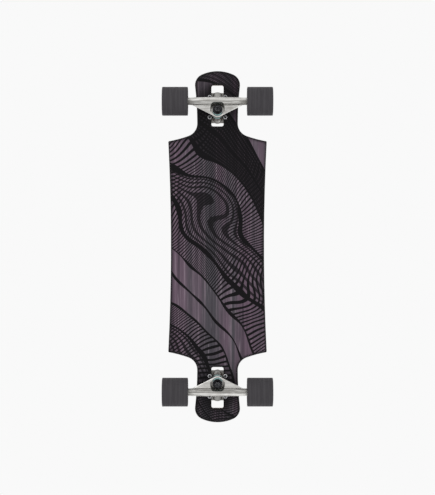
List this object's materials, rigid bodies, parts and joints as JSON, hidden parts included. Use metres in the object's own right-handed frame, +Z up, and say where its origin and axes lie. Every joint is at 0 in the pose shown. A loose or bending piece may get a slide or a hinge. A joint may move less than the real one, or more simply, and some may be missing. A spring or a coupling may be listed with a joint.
{
  "type": "longboard skateboard",
  "caption": "Drop-through longboard with a concave wooden deck, grip tape, kingpin trucks that steer on bushings, and urethane wheels on ball bearings.",
  "frame": {"origin": "on the floor under the middle of the board, which stands on its wheels", "axes": "+X along the board towards the front, +Y to the left, +Z up"},
  "size_m": [0.927, 0.2898, 0.099],
  "materials": {
    "deck_wood": "stained and sealed maple with a printed underside",
    "grip": "coarse abrasive sheet",
    "cast_aluminium": "tumbled casting",
    "pivot_urethane": "matt",
    "dark_steel": "blackened",
    "bushing_urethane": "satin",
    "zinc_steel": "zinc plated",
    "black_steel": "black oxide",
    "bearing_steel": "ground and polished",
    "cage_nylon": "moulded",
    "wheel_urethane": "matt cast urethane",
    "core_plastic": "moulded"
  },
  "bodies": {
    "board": {"deck": "deck_wood", "grip_tape": "grip", "front_baseplate": "cast_aluminium", "front_pivot_cup": "pivot_urethane", "front_kingpin": "dark_steel", "front_kingpin_nut": "dark_steel", "front_bushing_washers": "dark_steel", "front_boardside_bushing": "bushing_urethane", "front_roadside_bushing": "bushing_urethane", "front_mount_bolts": "black_steel", "front_mount_nuts": "zinc_steel", "rear_baseplate": "cast_aluminium", "rear_pivot_cup": "pivot_urethane", "rear_kingpin": "dark_steel", "rear_kingpin_nut": "dark_steel", "rear_bushing_washers": "dark_steel", "rear_boardside_bushing": "bushing_urethane", "rear_roadside_bushing": "bushing_urethane", "rear_mount_bolts": "black_steel", "rear_mount_nuts": "zinc_steel"},
    "front_steering": {"front_hanger": "cast_aluminium", "front_axle": "zinc_steel", "front_axle_nuts": "zinc_steel", "front_speed_washers": "zinc_steel", "front_bearing_spacers": "zinc_steel", "front_bearing_inner_rings": "bearing_steel"},
    "front_left_wheel": {"front_left_tyre": "wheel_urethane", "front_left_wheel_core": "core_plastic", "front_left_bearing_outer_rings": "bearing_steel", "front_left_bearing_shields": "bearing_steel"},
    "front_left_ball_set": {"front_left_bearing_balls": "bearing_steel", "front_left_bearing_cages": "cage_nylon"},
    "front_right_wheel": {"front_right_tyre": "wheel_urethane", "front_right_wheel_core": "core_plastic", "front_right_bearing_outer_rings": "bearing_steel", "front_right_bearing_shields": "bearing_steel"},
    "front_right_ball_set": {"front_right_bearing_balls": "bearing_steel", "front_right_bearing_cages": "cage_nylon"},
    "rear_steering": {"rear_hanger": "cast_aluminium", "rear_axle": "zinc_steel", "rear_axle_nuts": "zinc_steel", "rear_speed_washers": "zinc_steel", "rear_bearing_spacers": "zinc_steel", "rear_bearing_inner_rings": "bearing_steel"},
    "rear_left_wheel": {"rear_left_tyre": "wheel_urethane", "rear_left_wheel_core": "core_plastic", "rear_left_bearing_outer_rings": "bearing_steel", "rear_left_bearing_shields": "bearing_steel"},
    "rear_left_ball_set": {"rear_left_bearing_balls": "bearing_steel", "rear_left_bearing_cages": "cage_nylon"},
    "rear_right_wheel": {"rear_right_tyre": "wheel_urethane", "rear_right_wheel_core": "core_plastic", "rear_right_bearing_outer_rings": "bearing_steel", "rear_right_bearing_shields": "bearing_steel"},
    "rear_right_ball_set": {"rear_right_bearing_balls": "bearing_steel", "rear_right_bearing_cages": "cage_nylon"}
  },
  "joints": [
    {"name": "front_steer", "type": "hinge", "parent": "board", "child": "front_steering", "pos_m": [0.3529, 0, 0.047], "axis": [0.848, 0, 0.5299], "range_deg": [-20, 20], "stiffness_Nm_per_rad": 45, "deforming": ["front_boardside_bushing", "front_roadside_bushing"]},
    {"name": "front_left_spin", "type": "hinge", "parent": "front_steering", "child": "front_left_wheel", "pos_m": [0.3799, 0.111, 0.0375], "axis": [0, 1, 0], "continuous": true},
    {"name": "front_left_balls_roll", "type": "hinge", "parent": "front_steering", "child": "front_left_ball_set", "pos_m": [0.3799, 0.111, 0.0375], "axis": [0, 1, 0], "continuous": true},
    {"name": "front_right_spin", "type": "hinge", "parent": "front_steering", "child": "front_right_wheel", "pos_m": [0.3799, -0.111, 0.0375], "axis": [0, 1, 0], "continuous": true},
    {"name": "front_right_balls_roll", "type": "hinge", "parent": "front_steering", "child": "front_right_ball_set", "pos_m": [0.3799, -0.111, 0.0375], "axis": [0, 1, 0], "continuous": true},
    {"name": "rear_steer", "type": "hinge", "parent": "board", "child": "rear_steering", "pos_m": [-0.3529, 0, 0.047], "axis": [-0.848, 0, 0.5299], "range_deg": [-20, 20], "stiffness_Nm_per_rad": 45, "deforming": ["rear_boardside_bushing", "rear_roadside_bushing"]},
    {"name": "rear_left_spin", "type": "hinge", "parent": "rear_steering", "child": "rear_left_wheel", "pos_m": [-0.3799, 0.111, 0.0375], "axis": [0, 1, 0], "continuous": true},
    {"name": "rear_left_balls_roll", "type": "hinge", "parent": "rear_steering", "child": "rear_left_ball_set", "pos_m": [-0.3799, 0.111, 0.0375], "axis": [0, 1, 0], "continuous": true},
    {"name": "rear_right_spin", "type": "hinge", "parent": "rear_steering", "child": "rear_right_wheel", "pos_m": [-0.3799, -0.111, 0.0375], "axis": [0, 1, 0], "continuous": true},
    {"name": "rear_right_balls_roll", "type": "hinge", "parent": "rear_steering", "child": "rear_right_ball_set", "pos_m": [-0.3799, -0.111, 0.0375], "axis": [0, 1, 0], "continuous": true}
  ],
  "couplings": [
    {"joint": "front_left_balls_roll", "follows": "front_left_spin", "ratio": 0.6323},
    {"joint": "front_right_balls_roll", "follows": "front_right_spin", "ratio": 0.6323},
    {"joint": "rear_left_balls_roll", "follows": "rear_left_spin", "ratio": 0.6323},
    {"joint": "rear_right_balls_roll", "follows": "rear_right_spin", "ratio": 0.6323}
  ]
}
